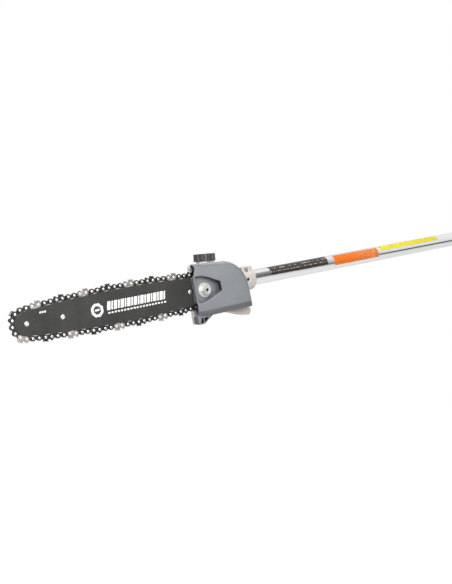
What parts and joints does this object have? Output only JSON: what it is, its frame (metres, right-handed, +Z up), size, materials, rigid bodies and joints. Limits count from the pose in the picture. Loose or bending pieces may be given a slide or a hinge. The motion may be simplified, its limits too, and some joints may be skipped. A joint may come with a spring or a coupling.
{
  "type": "telescoping pole saw",
  "caption": "Chain-saw cutting head with guide bar, chain, side cover and oil tank on a telescoping two-tube pole that ends in a split-shaft coupling for a power head.",
  "frame": {"origin": "centre of the coupling tube's rear end face, on the pole's axis", "axes": "+X runs back along the pole and out of the coupling end, +Z is up, the guide bar points to -X and lies on the -Y side of the pole"},
  "size_m": [1.5858, 0.0976, 0.1103],
  "materials": {
    "bar_paint": "satin",
    "bar_steel": "satin",
    "bright_steel": "polished",
    "dark_steel": "satin",
    "blued_steel": "satin",
    "cutter_chrome": "polished",
    "zinc_steel": "bright zinc",
    "cast_alloy": "cast",
    "tank_plastic": "satin",
    "brass_gear": "satin",
    "gear_steel": "ground",
    "bearing_steel": "ground",
    "cover_plastic": "fine grain",
    "black_plastic": "satin",
    "seal_rubber": "matt",
    "black_steel": "black oxide",
    "pole_bright": "polished",
    "bush_plastic": "matt",
    "pole_satin": "satin anodised",
    "clamp_plastic": "fine grain",
    "lever_plastic": "semi gloss",
    "grip_foam": "closed-cell foam",
    "label_dark": "printed film",
    "label_orange": "printed film",
    "label_yellow": "printed film",
    "stub_steel": "satin"
  },
  "bodies": {
    "rear_pole": {"rear_tube": "pole_satin", "slide_bush": "bush_plastic", "lock_clamp": "clamp_plastic", "clamp_screws": "zinc_steel", "lock_bolt": "zinc_steel", "lock_nut": "zinc_steel", "lever_pin": "zinc_steel", "foam_grip": "grip_foam", "grip_ring": "black_plastic", "coupling_stub": "stub_steel", "stub_screw": "black_steel", "stub_bearing": "bearing_steel"},
    "lock_lever": {"lock_lever": "lever_plastic"},
    "front_pole": {"front_tube": "pole_bright", "label_dark": "label_dark", "label_orange": "label_orange", "label_yellow": "label_yellow", "tube_bushes": "bush_plastic", "carrier_bush": "bush_plastic", "gear_case": "cast_alloy", "case_cap": "cast_alloy", "tank_screws": "zinc_steel", "guide_plate": "dark_steel", "bar_stud": "zinc_steel", "oil_tank": "tank_plastic", "oil_pump": "cast_alloy", "spindle_bearings": "bearing_steel", "pinion_bearings": "bearing_steel", "bearing_ring": "dark_steel", "side_cover": "cover_plastic", "cover_washer": "zinc_steel", "pinch_screw": "zinc_steel", "locating_screw": "black_steel"},
    "drive_shaft": {"drive_tube": "gear_steel", "drive_dog": "gear_steel"},
    "pinion_shaft": {"drive_rod": "gear_steel", "bevel_pinion": "gear_steel"},
    "spindle": {"spindle": "bright_steel", "bevel_wheel": "gear_steel", "pump_worm": "brass_gear", "drive_sprocket": "dark_steel", "sprocket_clip": "dark_steel"},
    "pump": {"pump_wheel": "brass_gear"},
    "bar": {"bar_plate_near": "bar_paint", "bar_plate_far": "bar_paint", "bar_core": "bar_steel", "bar_rivets": "bright_steel", "nose_hub": "dark_steel", "tension_block": "zinc_steel", "drive_links": "blued_steel", "tie_straps": "blued_steel", "cutters_near": "cutter_chrome", "cutters_far": "cutter_chrome", "chain_rivets": "bright_steel"},
    "nose_wheel": {"nose_sprocket": "dark_steel"},
    "tension_screw": {"tension_screw": "zinc_steel"},
    "bar_nut": {"bar_nut": "zinc_steel"},
    "oil_cap": {"oil_cap": "black_plastic", "cap_seal": "seal_rubber"}
  },
  "joints": [
    {"name": "pole_slide", "type": "slide", "parent": "rear_pole", "child": "front_pole", "axis": [-1, 0, 0], "range_m": [0, 0.38]},
    {"name": "lock_lever_turn", "type": "hinge", "parent": "rear_pole", "child": "lock_lever", "pos_m": [-0.575, 0.0195, -0.0265], "axis": [0, 0, 1], "range_deg": [0, 120]},
    {"name": "drive_shaft_spin", "type": "hinge", "parent": "rear_pole", "child": "drive_shaft", "pos_m": [-0.1, 0, 0], "axis": [-1, 0, 0], "continuous": true},
    {"name": "pinion_spin", "type": "hinge", "parent": "front_pole", "child": "pinion_shaft", "pos_m": [-1.168, 0, 0], "axis": [-1, 0, 0], "continuous": true},
    {"name": "sprocket_spin", "type": "hinge", "parent": "front_pole", "child": "spindle", "pos_m": [-1.228, -0.045, 0], "axis": [0, -1, 0], "continuous": true},
    {"name": "pump_spin", "type": "hinge", "parent": "front_pole", "child": "pump", "pos_m": [-1.228, -0.0338, -0.0146], "axis": [1, 0, 0], "continuous": true},
    {"name": "nose_spin", "type": "hinge", "parent": "bar", "child": "nose_wheel", "pos_m": [-1.56032, -0.045, 0], "axis": [0, -1, 0], "continuous": true},
    {"name": "bar_slide", "type": "slide", "parent": "front_pole", "child": "bar", "axis": [1, 0, 0], "range_m": [0, 0.003]},
    {"name": "tension_screw_turn", "type": "hinge", "parent": "front_pole", "child": "tension_screw", "pos_m": [-1.278, -0.0384, 0.011], "axis": [-1, 0, 0], "range_deg": [0, 1545]},
    {"name": "bar_nut_turn", "type": "hinge", "parent": "front_pole", "child": "bar_nut", "pos_m": [-1.268, -0.065, 0], "axis": [0, -1, 0], "range_deg": [0, 1440]},
    {"name": "oil_cap_turn", "type": "hinge", "parent": "front_pole", "child": "oil_cap", "pos_m": [-1.2348, -0.025, 0.04], "axis": [0.0785, 0, 0.9969], "range_deg": [0, 540]}
  ],
  "couplings": [
    {"joint": "pinion_spin", "follows": "drive_shaft_spin", "ratio": 1},
    {"joint": "sprocket_spin", "follows": "drive_shaft_spin", "ratio": 0.7},
    {"joint": "nose_spin", "follows": "drive_shaft_spin", "ratio": 0.7},
    {"joint": "pump_spin", "follows": "drive_shaft_spin", "ratio": 0.058333},
    {"joint": "tension_screw_turn", "follows": "bar_slide", "rad_per_m": 8976}
  ]
}
